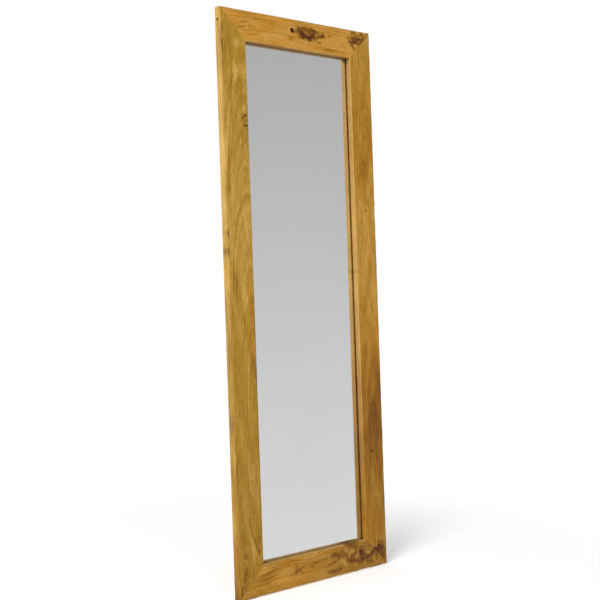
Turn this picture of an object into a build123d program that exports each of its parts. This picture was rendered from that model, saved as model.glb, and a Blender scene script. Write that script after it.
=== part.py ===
"""Free-standing full-length mirror: a wide mitred wooden frame with a fold-out stand behind it.

Millimetres, +Z up, the glass faces -Y. The origin is on the floor, in the middle of the box that
holds the whole mirror. The frame leans back, so its pieces are drawn on planes that lean with it,
and the stand's pieces on planes that slope with its legs. Left and right are those of a person
who looks into the glass; the drawing planes are seen from behind, so their x runs to the left.
"""

import os
from math import atan, cos, degrees, radians, sin

from build123d import *

# Frame
frame_width = 600.0
frame_height = 1700.0
board_width = 90.0
board_thickness = 25.0
edge_round = 4.0
lean_angle = 3.0

# Glass and what holds it
rebate_width = 10.0
glass_thickness = 4.0
glass_clearance = 1.0
glass_arris = 0.5
foam_width = 7.0
foam_thickness = 1.5
panel_thickness = 4.0
panel_overlap = 24.0
panel_screw_inset = 7.0
panel_screws_up = 7
panel_screws_across = 3

# Mitre joints
spline_width = 60.0
spline_length = 36.0
spline_thickness = 5.0
spline_depth = 7.0
spline_clearance = 0.2
plate_leg = 75.0
plate_width = 18.0
plate_thickness = 2.0
plate_inset = 20.0
plate_screw_ends = (8.0, 36.0)

# Hinge board across the back
hinge_height = 1120.0
hinge_board_end_gap = 30.0
hinge_board_thickness = 22.0
hinge_board_below = 42.0
hinge_board_above = 84.0
hinge_board_notch_clearance = 0.3
hinge_board_screw_inset = 15.0
hinge_board_screw_spacing = 80.0

# Butt hinges
leaf_width = 30.0
leaf_length = 32.0
leaf_thickness = 1.5
leaf_screw_side = 8.0
leaf_screw_upper = 13.5
leaf_screw_lower = 25.0
pin_radius = 2.0
pin_head_radius = 2.8
pin_head_thickness = 0.8
knuckle_radius = 3.5
fixed_bore_clearance = 0.02
running_clearance = 0.05
moving_gap = 0.3

# Stand
stand_angle = 7.0
stand_width = 180.0
leg_width = 32.0
leg_thickness = 20.0
leg_head = 76.0
leg_round = 2.5
rung_width = 32.0
rung_thickness = 14.0
upper_rung_drop = 90.0
lower_rung_rise = 260.0
tenon_length = 14.0
tenon_width = 22.0
tenon_thickness = 7.0
tenon_clearance = 0.2

# Feet
stand_pad_thickness = 4.0
stand_pad_depth = 19.0
stand_pad_margin = 2.0
frame_pad_least = 2.0
frame_pad_length = 50.0
frame_pad_setback = 9.0
frame_pad_depth = 13.0
frame_pad_inset = 20.0

# Countersunk wood screws
screw_head_radius = 3.1
screw_head_height = 1.4
screw_shank_radius = 1.6
screw_point = 3.0
screw_tip_radius = 0.2
screw_recess_length = 3.4
screw_recess_width = 0.8
screw_recess_depth = 0.9
screw_clearance = 0.05
panel_screw_length = 16.0
plate_screw_length = 12.0
hinge_board_screw_length = 36.0
leaf_screw_length = 15.0

# Worked out from the sizes above
lean, slope = radians(lean_angle), radians(stand_angle)
opening_width = frame_width - 2 * board_width
opening_height = frame_height - 2 * board_width
rebate_opening = (opening_width + 2 * rebate_width, opening_height + 2 * rebate_width)
glass_width = rebate_opening[0] - 2 * glass_clearance
glass_height = rebate_opening[1] - 2 * glass_clearance
glass_back = board_thickness - foam_thickness
glass_front = glass_back - glass_thickness
panel_width = opening_width + 2 * panel_overlap
panel_height = opening_height + 2 * panel_overlap
panel_back = board_thickness + panel_thickness
hinge_board_back = board_thickness + hinge_board_thickness
standoff = knuckle_radius + moving_gap
leg_offset = (stand_width - leg_width) / 2
knuckle_width = leaf_width / 3
screw_taper = degrees(atan((screw_head_radius - screw_shank_radius) / screw_head_height))
point_taper = degrees(atan((screw_shank_radius - screw_tip_radius) / screw_point))

# Lowest front edge of the frame, the hinge axis and the stand's feet, as distances back and up
lift = frame_pad_least + (frame_pad_setback + frame_pad_depth) * sin(lean)
pin_depth = hinge_board_back + standoff
pin_back = hinge_height * sin(lean) + pin_depth * cos(lean)
pin_up = lift + hinge_height * cos(lean) - pin_depth * sin(lean)
leg_middle = standoff + leg_thickness / 2
leg_drop = (pin_up + leg_middle * sin(slope) - stand_pad_thickness) / cos(slope)
foot_back = pin_back + leg_middle * cos(slope) + leg_drop * sin(slope)
front_y = -(foot_back + stand_pad_depth / 2) / 2

frame_back = Vector(0, cos(lean), -sin(lean))
frame_up = Vector(0, sin(lean), cos(lean))
stand_back = Vector(0, cos(slope), sin(slope))
stand_up = Vector(0, -sin(slope), cos(slope))
frame_corner = Vector(0, front_y, lift)
pin_centre = Vector(0, front_y + pin_back, pin_up)


def frame_plane(depth):
    """Plane across the frame, depth behind its front face, seen from behind."""
    return Plane(frame_corner + frame_back * depth, x_dir=(-1, 0, 0), z_dir=frame_back)


def stand_plane(depth):
    """Plane along the open stand's legs, depth behind the hinge axis, seen from behind."""
    return Plane(pin_centre + stand_back * depth, x_dir=(-1, 0, 0), z_dir=stand_back)


def save(built, name):
    """Name a finished piece after its file and write it."""
    built.part.label = name
    export_step(built.part, f"parts/{name}.step")


def screw_holes(seat, points, length):
    """The space that screws take, from heads level with the seat plane, with their clearance."""
    with BuildPart() as holes:
        with BuildSketch(seat):
            with Locations(*points):
                Circle(screw_head_radius + screw_clearance)
        extrude(amount=-screw_head_height, taper=screw_taper)
        with BuildSketch(seat):
            with Locations(*points):
                Circle(screw_shank_radius + screw_clearance)
        extrude(amount=-(length + screw_clearance))
    return holes.part


def save_screws(name, seat, points, length):
    """Countersunk screws as one group, one at each point of the seat plane."""
    with BuildPart() as screws:
        with BuildSketch(seat):
            with Locations(*points):
                Circle(screw_head_radius)
        extrude(amount=-screw_head_height, taper=screw_taper)
        with BuildSketch(seat.offset(-screw_head_height)):
            with Locations(*points):
                Circle(screw_shank_radius)
        extrude(amount=-(length - screw_head_height - screw_point))
        with BuildSketch(seat.offset(-(length - screw_point))):
            with Locations(*points):
                Circle(screw_shank_radius)
        extrude(amount=-screw_point, taper=point_taper)
        with BuildSketch(seat):
            with Locations(*points):
                Rectangle(screw_recess_length, screw_recess_width)
                Rectangle(screw_recess_width, screw_recess_length)
        extrude(amount=-screw_recess_depth, mode=Mode.SUBTRACT)
    save(screws, name)


def mitre_rectangles(along, across):
    """One rectangle over the middle of each mitre, in the current sketch on a frame plane."""
    for side_x in (-1, 1):
        for side_y in (-1, 1):
            middle_x = side_x * (frame_width - board_width) / 2
            middle_y = frame_height / 2 + side_y * (frame_height - board_width) / 2
            with Locations(Location((middle_x, middle_y, 0), (0, 0, 45 * side_x * side_y))):
                Rectangle(along, across)


os.makedirs("parts", exist_ok=True)

# Where the screws go, each point seen from behind
panel_screw_x = panel_width / 2 - panel_screw_inset
panel_screw_y = panel_height / 2 - panel_screw_inset
panel_pitch_x = 2 * panel_screw_x / (panel_screws_across + 1)
panel_pitch_y = 2 * panel_screw_y / (panel_screws_up - 1)
panel_screw_points = [
    (side * panel_screw_x, frame_height / 2 - panel_screw_y + row * panel_pitch_y)
    for side in (-1, 1)
    for row in range(panel_screws_up)
] + [
    ((column + 1) * panel_pitch_x - panel_screw_x, frame_height / 2 + side * panel_screw_y)
    for side in (-1, 1)
    for column in range(panel_screws_across)
]

plate_line = plate_inset + plate_width / 2
plate_steps = [plate_inset + plate_leg - end for end in plate_screw_ends]
plate_spots = [(plate_line, step) for step in plate_steps] + [(step, plate_line) for step in plate_steps]
plate_screw_points = [
    (side_x * (frame_width / 2 - in_x), frame_height / 2 + side_y * (frame_height / 2 - in_y))
    for side_x in (-1, 1)
    for side_y in (-1, 1)
    for in_x, in_y in plate_spots
]

hinge_board_half = frame_width / 2 - hinge_board_end_gap
hinge_board_bottom = hinge_height - hinge_board_below
hinge_board_top = hinge_height + hinge_board_above
hinge_board_middle = (hinge_board_bottom + hinge_board_top) / 2
hinge_board_screw_points = [
    (
        side_x * (hinge_board_half - hinge_board_screw_inset),
        hinge_board_middle + side_y * hinge_board_screw_spacing / 2,
    )
    for side_x in (-1, 1)
    for side_y in (-1, 1)
]

leaf_screw_spots = [
    (leaf_screw_side, -leaf_screw_upper),
    (-leaf_screw_side, -leaf_screw_upper),
    (0, -leaf_screw_lower),
]
fixed_leaf_screw_points = [
    (side * leg_offset + x, hinge_height + y) for side in (-1, 1) for x, y in leaf_screw_spots
]
moving_leaf_screw_points = [
    (side * leg_offset + x, y) for side in (-1, 1) for x, y in leaf_screw_spots
]

# Seats of the screw heads: each plane faces the way its heads face
panel_seat = frame_plane(panel_back)
plate_seat = frame_plane(board_thickness + plate_thickness)
hinge_board_seat = frame_plane(hinge_board_back)
fixed_leaf_seat = frame_plane(hinge_board_back + leaf_thickness)
moving_leaf_seat = Plane(
    pin_centre + stand_back * (standoff - leaf_thickness), x_dir=(1, 0, 0), z_dir=-stand_back
)

panel_holes = screw_holes(panel_seat, panel_screw_points, panel_screw_length)
plate_holes = screw_holes(plate_seat, plate_screw_points, plate_screw_length)
hinge_board_holes = screw_holes(hinge_board_seat, hinge_board_screw_points, hinge_board_screw_length)
fixed_leaf_holes = screw_holes(fixed_leaf_seat, fixed_leaf_screw_points, leaf_screw_length)
moving_leaf_holes = screw_holes(moving_leaf_seat, moving_leaf_screw_points, leaf_screw_length)

# Frame boards: mitred, rebated for the glass, slotted for the splines, front arrises rounded
back_axis, up_axis = Axis((0, 0, 0), frame_back), Axis((0, 0, 0), frame_up)
half_width, half_opening = frame_width / 2, opening_width / 2
low, high = board_width, frame_height - board_width
board_outlines = {}
for side, side_name in ((1, "left"), (-1, "right")):
    board_outlines[f"{side_name}_stile"] = [
        (side * half_width, 0),
        (side * half_width, frame_height),
        (side * half_opening, high),
        (side * half_opening, low),
    ]
for outer, inner, end_name in ((frame_height, high, "top"), (0, low, "bottom")):
    board_outlines[f"{end_name}_rail"] = [
        (-half_width, outer),
        (half_width, outer),
        (half_opening, inner),
        (-half_opening, inner),
    ]
for board_name, outline in board_outlines.items():
    grain = up_axis if board_name.endswith("stile") else Axis.X
    with BuildPart() as board:
        with BuildSketch(frame_plane(0)):
            with BuildLine():
                Polyline(*outline, close=True)
            make_face()
        extrude(amount=board_thickness)
        front_face = board.faces().filter_by(back_axis).sort_by(back_axis)[0]
        fillet(front_face.edges().filter_by(grain), radius=edge_round)
        with BuildSketch(frame_plane(glass_front)):
            with Locations((0, frame_height / 2)):
                Rectangle(*rebate_opening)
        extrude(amount=board_thickness - glass_front, mode=Mode.SUBTRACT)
        with BuildSketch(frame_plane(spline_depth - spline_clearance / 2)):
            mitre_rectangles(spline_width + spline_clearance, spline_length + spline_clearance)
        extrude(amount=spline_thickness + spline_clearance, mode=Mode.SUBTRACT)
        add(panel_holes, mode=Mode.SUBTRACT)
        add(plate_holes, mode=Mode.SUBTRACT)
        add(hinge_board_holes, mode=Mode.SUBTRACT)
    save(board, board_name)

# Loose splines glued across the mitres
with BuildPart() as mitre_splines:
    with BuildSketch(frame_plane(spline_depth)):
        mitre_rectangles(spline_width, spline_length)
    extrude(amount=spline_thickness)
save(mitre_splines, "mitre_splines")

# Silvered glass in the rebate
with BuildPart() as mirror_glass:
    with BuildSketch(frame_plane(glass_front)):
        with Locations((0, frame_height / 2)):
            Rectangle(glass_width, glass_height)
    extrude(amount=glass_thickness)
    chamfer(mirror_glass.edges(), length=glass_arris)
save(mirror_glass, "mirror_glass")

# Foam strips that press the glass forward, all round its back
with BuildPart() as foam_strips:
    with BuildSketch(frame_plane(glass_back)):
        for side in (-1, 1):
            with Locations((side * (glass_width - foam_width) / 2, frame_height / 2)):
                Rectangle(foam_width, glass_height)
            with Locations((0, frame_height / 2 + side * (glass_height - foam_width) / 2)):
                Rectangle(glass_width - 2 * (foam_width + glass_clearance), foam_width)
    extrude(amount=foam_thickness)
save(foam_strips, "foam_strips")

# Thin back panel, screwed on over the rebate
with BuildPart() as back_panel:
    with BuildSketch(frame_plane(board_thickness)):
        with Locations((0, frame_height / 2)):
            Rectangle(panel_width, panel_height)
    extrude(amount=panel_thickness)
    add(panel_holes, mode=Mode.SUBTRACT)
save(back_panel, "back_panel")
save_screws("back_panel_screws", panel_seat, panel_screw_points, panel_screw_length)

# Flat steel corner plates over the mitres
for side_x, side_name in ((1, "left"), (-1, "right")):
    for side_y, end_name in ((1, "top"), (-1, "bottom")):
        corner_x = side_x * (half_width - plate_inset)
        corner_y = frame_height / 2 + side_y * (frame_height / 2 - plate_inset)
        with BuildPart() as corner_plate:
            with BuildSketch(frame_plane(board_thickness)):
                with Locations((corner_x - side_x * plate_leg / 2, corner_y - side_y * plate_width / 2)):
                    Rectangle(plate_leg, plate_width)
                with Locations((corner_x - side_x * plate_width / 2, corner_y - side_y * plate_leg / 2)):
                    Rectangle(plate_width, plate_leg)
            extrude(amount=plate_thickness)
            add(plate_holes, mode=Mode.SUBTRACT)
        save(corner_plate, f"corner_plate_{end_name}_{side_name}")
save_screws("corner_plate_screws", plate_seat, plate_screw_points, plate_screw_length)

# Hinge board, notched over the back panel and screwed to the stiles
with BuildPart() as hinge_board:
    with BuildSketch(frame_plane(board_thickness)):
        with Locations((0, hinge_board_middle)):
            Rectangle(2 * hinge_board_half, hinge_board_top - hinge_board_bottom)
    extrude(amount=hinge_board_thickness)
    back_face = hinge_board.faces().filter_by(back_axis).sort_by(back_axis)[-1]
    fillet(back_face.edges(), radius=leg_round)
    with BuildSketch(frame_plane(board_thickness)):
        with Locations((0, hinge_board_middle)):
            Rectangle(
                panel_width + 2 * hinge_board_notch_clearance,
                hinge_board_top - hinge_board_bottom,
            )
    extrude(amount=panel_thickness + hinge_board_notch_clearance, mode=Mode.SUBTRACT)
    add(hinge_board_holes, mode=Mode.SUBTRACT)
    add(fixed_leaf_holes, mode=Mode.SUBTRACT)
save(hinge_board, "hinge_board")
save_screws(
    "hinge_board_screws", hinge_board_seat, hinge_board_screw_points, hinge_board_screw_length
)
save_screws("fixed_leaf_screws", fixed_leaf_seat, fixed_leaf_screw_points, leaf_screw_length)
save_screws("moving_leaf_screws", moving_leaf_seat, moving_leaf_screw_points, leaf_screw_length)


def hinge_leaf(across, facing, other_knuckles, bore_radius, holes):
    """Leaf drawn on a plane across its hinge: x runs back and y up the leaf from the pin's axis."""
    with BuildPart() as leaf:
        with BuildSketch(across):
            Circle(knuckle_radius)
            with Locations((facing * (standoff - leaf_thickness / 2), -leaf_length / 2)):
                Rectangle(leaf_thickness, leaf_length)
        extrude(amount=leaf_width / 2, both=True)
        for start, stop in other_knuckles:
            with BuildSketch(across.offset(start)):
                Circle(standoff + leaf_thickness)
            extrude(amount=stop - start, mode=Mode.SUBTRACT)
        with BuildSketch(across):
            Circle(bore_radius)
        extrude(amount=leaf_width, both=True, mode=Mode.SUBTRACT)
        add(holes, mode=Mode.SUBTRACT)
    return leaf


# Butt hinges: the fixed leaf has the two outer knuckles, the moving leaf the middle one
knuckle_split = knuckle_width / 2
middle_knuckle = [(-knuckle_split - moving_gap / 2, knuckle_split + moving_gap / 2)]
outer_knuckles = [
    (-leaf_width, moving_gap / 2 - knuckle_split),
    (knuckle_split - moving_gap / 2, leaf_width),
]
for side, side_name in ((-1, "left"), (1, "right")):
    hinge_middle = pin_centre + Vector(side * leg_offset, 0, 0)
    across = Plane(hinge_middle, x_dir=frame_back, z_dir=(1, 0, 0))
    fixed_leaf = hinge_leaf(
        across, -1, middle_knuckle, pin_radius + fixed_bore_clearance, fixed_leaf_holes
    )
    save(fixed_leaf, f"{side_name}_hinge_fixed_leaf")
    moving_leaf = hinge_leaf(
        Plane(hinge_middle, x_dir=stand_back, z_dir=(1, 0, 0)),
        1,
        outer_knuckles,
        pin_radius + running_clearance,
        moving_leaf_holes,
    )
    save(moving_leaf, f"{side_name}_hinge_moving_leaf")

    with BuildPart() as hinge_pin:
        with BuildSketch(across):
            Circle(pin_radius)
        extrude(amount=leaf_width / 2, both=True)
        for end in (-1, 1):
            with BuildSketch(across.offset(end * leaf_width / 2)):
                Circle(pin_head_radius)
            extrude(amount=end * pin_head_thickness)
    save(hinge_pin, f"{side_name}_hinge_pin")

# Stand legs: cut level at the foot, and cut at the head so that they bear on the hinge board
leg_long = leg_drop + leg_thickness
rung_gap = stand_width - 2 * leg_width
rung_places = {"upper": -upper_rung_drop, "lower": lower_rung_rise - leg_drop}
foot_cut = Plane.XY.offset(stand_pad_thickness)
head_cut = frame_plane(hinge_board_back + moving_gap)


for side, side_name in ((1, "left"), (-1, "right")):
    with BuildPart() as leg:
        with BuildSketch(stand_plane(standoff)):
            with Locations((side * leg_offset, (leg_head - leg_long) / 2)):
                Rectangle(leg_width, leg_head + leg_long)
        extrude(amount=leg_thickness)
        fillet(leg.edges().filter_by(Axis((0, 0, 0), stand_up)), radius=leg_round)
        split(bisect_by=foot_cut, keep=Keep.TOP)
        split(bisect_by=head_cut, keep=Keep.TOP)
        with BuildSketch(stand_plane(leg_middle - (tenon_thickness + tenon_clearance) / 2)):
            for place in rung_places.values():
                with Locations((0, place)):
                    Rectangle(
                        rung_gap + 2 * tenon_length + tenon_clearance, tenon_width + tenon_clearance
                    )
        extrude(amount=tenon_thickness + tenon_clearance, mode=Mode.SUBTRACT)
        add(moving_leaf_holes, mode=Mode.SUBTRACT)
    save(leg, f"stand_{side_name}_leg")

# Stand rungs with tenons into the legs
for rung_name, place in rung_places.items():
    with BuildPart() as rung:
        with BuildSketch(stand_plane(leg_middle - rung_thickness / 2)):
            with Locations((0, place)):
                Rectangle(rung_gap, rung_width)
        extrude(amount=rung_thickness)
        with BuildSketch(stand_plane(leg_middle - tenon_thickness / 2)):
            with Locations((0, place)):
                Rectangle(rung_gap + 2 * tenon_length, tenon_width)
        extrude(amount=tenon_thickness)
    save(rung, f"stand_{rung_name}_rung")

# Rubber pads: level under the stand's legs, wedges under the leaning frame
frame_foot = Plane(frame_corner, x_dir=(1, 0, 0), z_dir=frame_up)
frame_pad_y = front_y + lift * sin(lean) + (frame_pad_setback + frame_pad_depth / 2) * cos(lean)
for side, side_name in ((-1, "left"), (1, "right")):
    with BuildPart() as stand_pad:
        with BuildSketch():
            with Locations((side * leg_offset, front_y + foot_back)):
                Rectangle(leg_width - 2 * stand_pad_margin, stand_pad_depth)
        extrude(amount=stand_pad_thickness)
    save(stand_pad, f"stand_{side_name}_pad")

    with BuildPart() as frame_pad:
        with BuildSketch():
            with Locations((side * (half_width - frame_pad_inset - frame_pad_length / 2), frame_pad_y)):
                Rectangle(frame_pad_length, frame_pad_depth)
        extrude(amount=2 * lift)
        split(bisect_by=frame_foot, keep=Keep.BOTTOM)
    save(frame_pad, f"frame_{side_name}_pad")

print(f"overall depth {-2 * front_y:.1f} mm, hinge axis y {pin_centre.Y:.2f} z {pin_centre.Z:.2f}")
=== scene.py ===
"""Looks of the floor mirror: waxed hardwood frame and stand, silvered glass, steel, brass and rubber.

Lengths named with _mm, and everything in the boards' own places, are millimetres; Blender's are metres.
A place on the leaning frame is given as x to the right, z up the frame and depth behind its front face.
"""

from math import cos, pi, radians, sin

import bmesh
import bpy
import numpy as np
from mathutils import Euler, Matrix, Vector


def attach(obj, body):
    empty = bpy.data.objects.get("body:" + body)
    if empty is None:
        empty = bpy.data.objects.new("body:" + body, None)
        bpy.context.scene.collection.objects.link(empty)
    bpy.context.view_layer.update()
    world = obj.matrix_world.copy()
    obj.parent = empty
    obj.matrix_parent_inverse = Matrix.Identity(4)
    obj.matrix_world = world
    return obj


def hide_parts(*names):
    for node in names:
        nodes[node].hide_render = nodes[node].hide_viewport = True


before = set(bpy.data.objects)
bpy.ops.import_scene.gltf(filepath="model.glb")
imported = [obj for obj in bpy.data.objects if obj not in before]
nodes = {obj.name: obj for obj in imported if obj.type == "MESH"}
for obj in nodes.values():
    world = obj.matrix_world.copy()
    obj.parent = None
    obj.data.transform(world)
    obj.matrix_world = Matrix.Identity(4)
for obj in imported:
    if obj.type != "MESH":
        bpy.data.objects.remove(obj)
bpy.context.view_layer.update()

MM = 0.001

# Camera: where the eye stands, which way it looks and how long its lens is
camera_place = (-2.220, -2.571, 0.996)
camera_turn = 41.38
camera_dip = 2.43
camera_lens_mm = 66.04

# Frame boards, as the hands and the plane left them
grid_mm = 2.5
arris_radius_mm = 4.0
arris_wear_mm = 1.5
arris_steps = 6
edge_ease_mm = 0.6
mitre_gap_mm = 0.12
mitre_ease_mm = 0.8
mitre_sink_mm = 0.35
plane_swell_mm = 0.35
glass_clearance_mm = 1.0

# Share of the pale colour on each part of a board, painted light on the sides and wear with painted highlight
# on the arrises, and how much darker its tone is painted there as shade
side_painted_light = 0.27
inner_arris_wear_and_highlight = 0.42
outer_arris_wear_and_highlight = 0.10
outer_arris_painted_shade = 0.13
lip_side_painted_shade = 0.10

# Width of the line of painted shade where the lip meets the glass
glass_line_shade_mm = 2.2

# Square pieces with their edges rubbed round
rung_ease_mm = 1.2
pad_ease_mm = 0.5

# Glass: its ground edge, and the silver coat just in front of its back face
glass_grind_mm = 0.5
silver_inset_mm = 0.8
silver_front_mm = 0.16
silver_back_mm = 0.06
silver_edge_mm = 0.02

# Stage, in metres and watts: the floor's disc, which fades out between two distances, and the key light
floor_radius = 4.0
floor_steps = 96
floor_fade = (0.3, 1.3)
floor_glow = 0.26
key_place = (-4.97, -2.21, 3.44)
key_target = (0, 0, 0.9)
key_size = 2.5
key_watts = 344

# Edges sharper than this are kept sharp
sharp_degrees = 35


def make_camera():
    """The camera comes first, at eye height in front of the left stile."""
    data = bpy.data.cameras.new("camera")
    data.lens = camera_lens_mm
    data.sensor_width = 36.0
    camera = bpy.data.objects.new("camera", data)
    bpy.context.scene.collection.objects.link(camera)
    camera.location = camera_place
    camera.rotation_euler = Euler((radians(90 - camera_dip), 0, radians(-camera_turn)))
    bpy.context.scene.camera = camera


make_camera()


# ---------------------------------------------------------------- the leaning frame's own axes


def lean_axes():
    """Directions back and up of the leaning frame, read from the glass, and its lower left front corner."""
    widest = max(nodes["mirror_glass"].data.polygons, key=lambda face: face.area)
    back = widest.normal.copy()
    if back.y < 0:
        back.negate()
    up = Vector((0, -back.z, back.y))
    points = [v.co for v in nodes["left_stile"].data.vertices]
    corner = (
        Vector((1, 0, 0)) * min(p.x for p in points)
        + back * min(p.dot(back) for p in points)
        + up * min(p.dot(up) for p in points)
    )
    return back, up, corner


frame_back, frame_up, frame_corner = lean_axes()


def on_frame(x, z, depth):
    """World places of frame places: arrays of x, z and depth in millimetres give rows of metres."""
    x, z, depth = np.broadcast_arrays(x, z, depth)
    across = np.array((1.0, 0.0, 0.0))
    return (
        np.array(frame_corner)
        + MM * x[..., None] * across
        + MM * z[..., None] * np.array(frame_up)
        + MM * depth[..., None] * np.array(frame_back)
    )


def frame_box(name):
    """Lowest and highest (x, z, depth) of a CAD node, in millimetres on the leaning frame."""
    points = np.array([v.co for v in nodes[name].data.vertices]) - np.array(frame_corner)
    axes = np.array(((1.0, 0.0, 0.0), tuple(frame_up), tuple(frame_back)))
    places = points @ axes.T / MM
    return places.min(0), places.max(0)


stile_low, stile_high = frame_box("left_stile")
glass_low, glass_high = frame_box("mirror_glass")
board_width = stile_high[0] - stile_low[0]
board_thickness = stile_high[2] - stile_low[2]
frame_width = frame_box("right_stile")[1][0]
frame_height = stile_high[1]
lip_depth = glass_low[2]
lip_width = board_width - (glass_low[0] - glass_clearance_mm)


# ---------------------------------------------------------------- materials


def linear(code):
    """Linear red, green, blue and alpha of an sRGB hex colour."""
    parts = [int(code[i : i + 2], 16) / 255 for i in (1, 3, 5)]
    return tuple(c / 12.92 if c <= 0.04045 else ((c + 0.055) / 1.055) ** 2.4 for c in parts) + (1.0,)


def add_node(tree, kind, inputs=None, stops=None, **settings):
    """Add a node with its settings, its input values or links, and the stops of its colour ramp."""
    made = tree.nodes.new(kind)
    for name, value in settings.items():
        setattr(made, name, value)
    for name, value in (inputs or {}).items():
        if isinstance(value, bpy.types.NodeSocket):
            tree.links.new(value, made.inputs[name])
        else:
            made.inputs[name].default_value = value
    if stops:
        ramp = made.color_ramp
        while len(ramp.elements) < len(stops):
            ramp.elements.new(1.0)
        for element, (place, colour) in zip(ramp.elements, stops):
            element.position = place
            element.color = linear(colour)
    return made


def start_material(name, **values):
    """A material with one Principled shader, whose constant values are set on its own sockets."""
    material = bpy.data.materials.new(name)
    material.use_nodes = True
    tree = material.node_tree
    tree.nodes.clear()
    shader = add_node(tree, "ShaderNodeBsdfPrincipled", values)
    add_node(tree, "ShaderNodeOutputMaterial", {"Surface": shader.outputs["BSDF"]})
    return material, tree, shader


def weighed(tree, start, *terms):
    """start plus each socket of the terms times its weight."""
    for socket, weight in terms:
        start = add_node(
            tree, "ShaderNodeMath", {0: socket, 1: weight, 2: start}, operation="MULTIPLY_ADD"
        ).outputs[0]
    return start


def swung(tree, middle, *terms):
    """The middle, swung up and down by patterns about 0.5, each by its weight."""
    return weighed(tree, middle - 0.5 * sum(weight for _, weight in terms), *terms)


def patches(tree, place, size_mm, detail=2.0, roughness=0.55, distortion=0.0):
    """Noise about 0.5, in patches of that size in millimetres along the three axes of the place."""
    per_metre = [1 / (mm * MM) for mm in size_mm]
    scaled = add_node(tree, "ShaderNodeVectorMath", {0: place, 1: per_metre}, operation="MULTIPLY").outputs[0]
    return add_node(
        tree,
        "ShaderNodeTexNoise",
        {"Vector": scaled, "Scale": 1.0, "Detail": detail, "Roughness": roughness, "Distortion": distortion},
    ).outputs["Fac"]


def dress(tree, shader, colour, roughness, relief, depth_mm):
    """Give the shader its colour, its roughness and a bump of that depth."""
    bump = add_node(tree, "ShaderNodeBump", {"Height": relief, "Distance": depth_mm * MM, "Strength": 0.6})
    sockets = {"Base Color": colour, "Roughness": roughness, "Normal": bump.outputs["Normal"]}
    for name, socket in sockets.items():
        tree.links.new(socket, shader.inputs[name])


def wood_figure(tree, grain, ring):
    """Patterns of the hardwood: growth rings about 5 mm apart, and what runs along the grain.

    The real fibres and pores are a few tenths of a millimetre wide. They are drawn as coarse as they
    need to show.
    """
    years = add_node(tree, "ShaderNodeMath", {0: ring, 1: 1 / (5 * MM)}, operation="MULTIPLY").outputs[0]
    rings = add_node(
        tree,
        "ShaderNodeTexNoise",
        {"W": years, "Scale": 1.0, "Detail": 3.0, "Roughness": 0.6},
        noise_dimensions="1D",
    ).outputs["Fac"]
    pores = add_node(
        tree,
        "ShaderNodeMapRange",
        {"Value": patches(tree, grain, (9, 0.7, 0.7), detail=0.0), "From Min": 0.60, "From Max": 0.68},
    ).outputs["Result"]
    ticks = add_node(
        tree,
        "ShaderNodeMapRange",
        {"Value": patches(tree, grain, (34, 4.0, 4.0), detail=1.0), "From Min": 0.60, "From Max": 0.72},
    ).outputs["Result"]
    return {
        "rings": rings,
        "pores": pores,
        "ticks": ticks,
        "fibre": patches(tree, grain, (110, 4.0, 4.0), detail=4.0, roughness=0.6),
        "hair": patches(tree, grain, (40, 1.1, 1.1), detail=3.0, roughness=0.6),
        "cloud": patches(tree, grain, (170, 45, 45), detail=1.0),
        "fleck": patches(tree, grain, (26, 9, 9), detail=3.0, distortion=0.4),
    }


def wood_level(tree, figure, middle):
    """How light the wood is, from its patterns, about the middle."""
    weights = (("rings", 0.42), ("fibre", 0.24), ("hair", 0.24), ("cloud", 0.28), ("fleck", 0.26))
    level = swung(tree, middle, *((figure[name], weight) for name, weight in weights))
    return weighed(tree, level, (figure["pores"], -0.16), (figure["ticks"], -0.13))


KNOTTY_WOOD = [(0.05, "#3a2205"), (0.36, "#785310"), (0.70, "#a77f25"), (0.95, "#cba155")]
STRAIGHT_WOOD = [(0.05, "#45290c"), (0.36, "#89581c"), (0.70, "#b58238"), (0.95, "#d3a668")]


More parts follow.
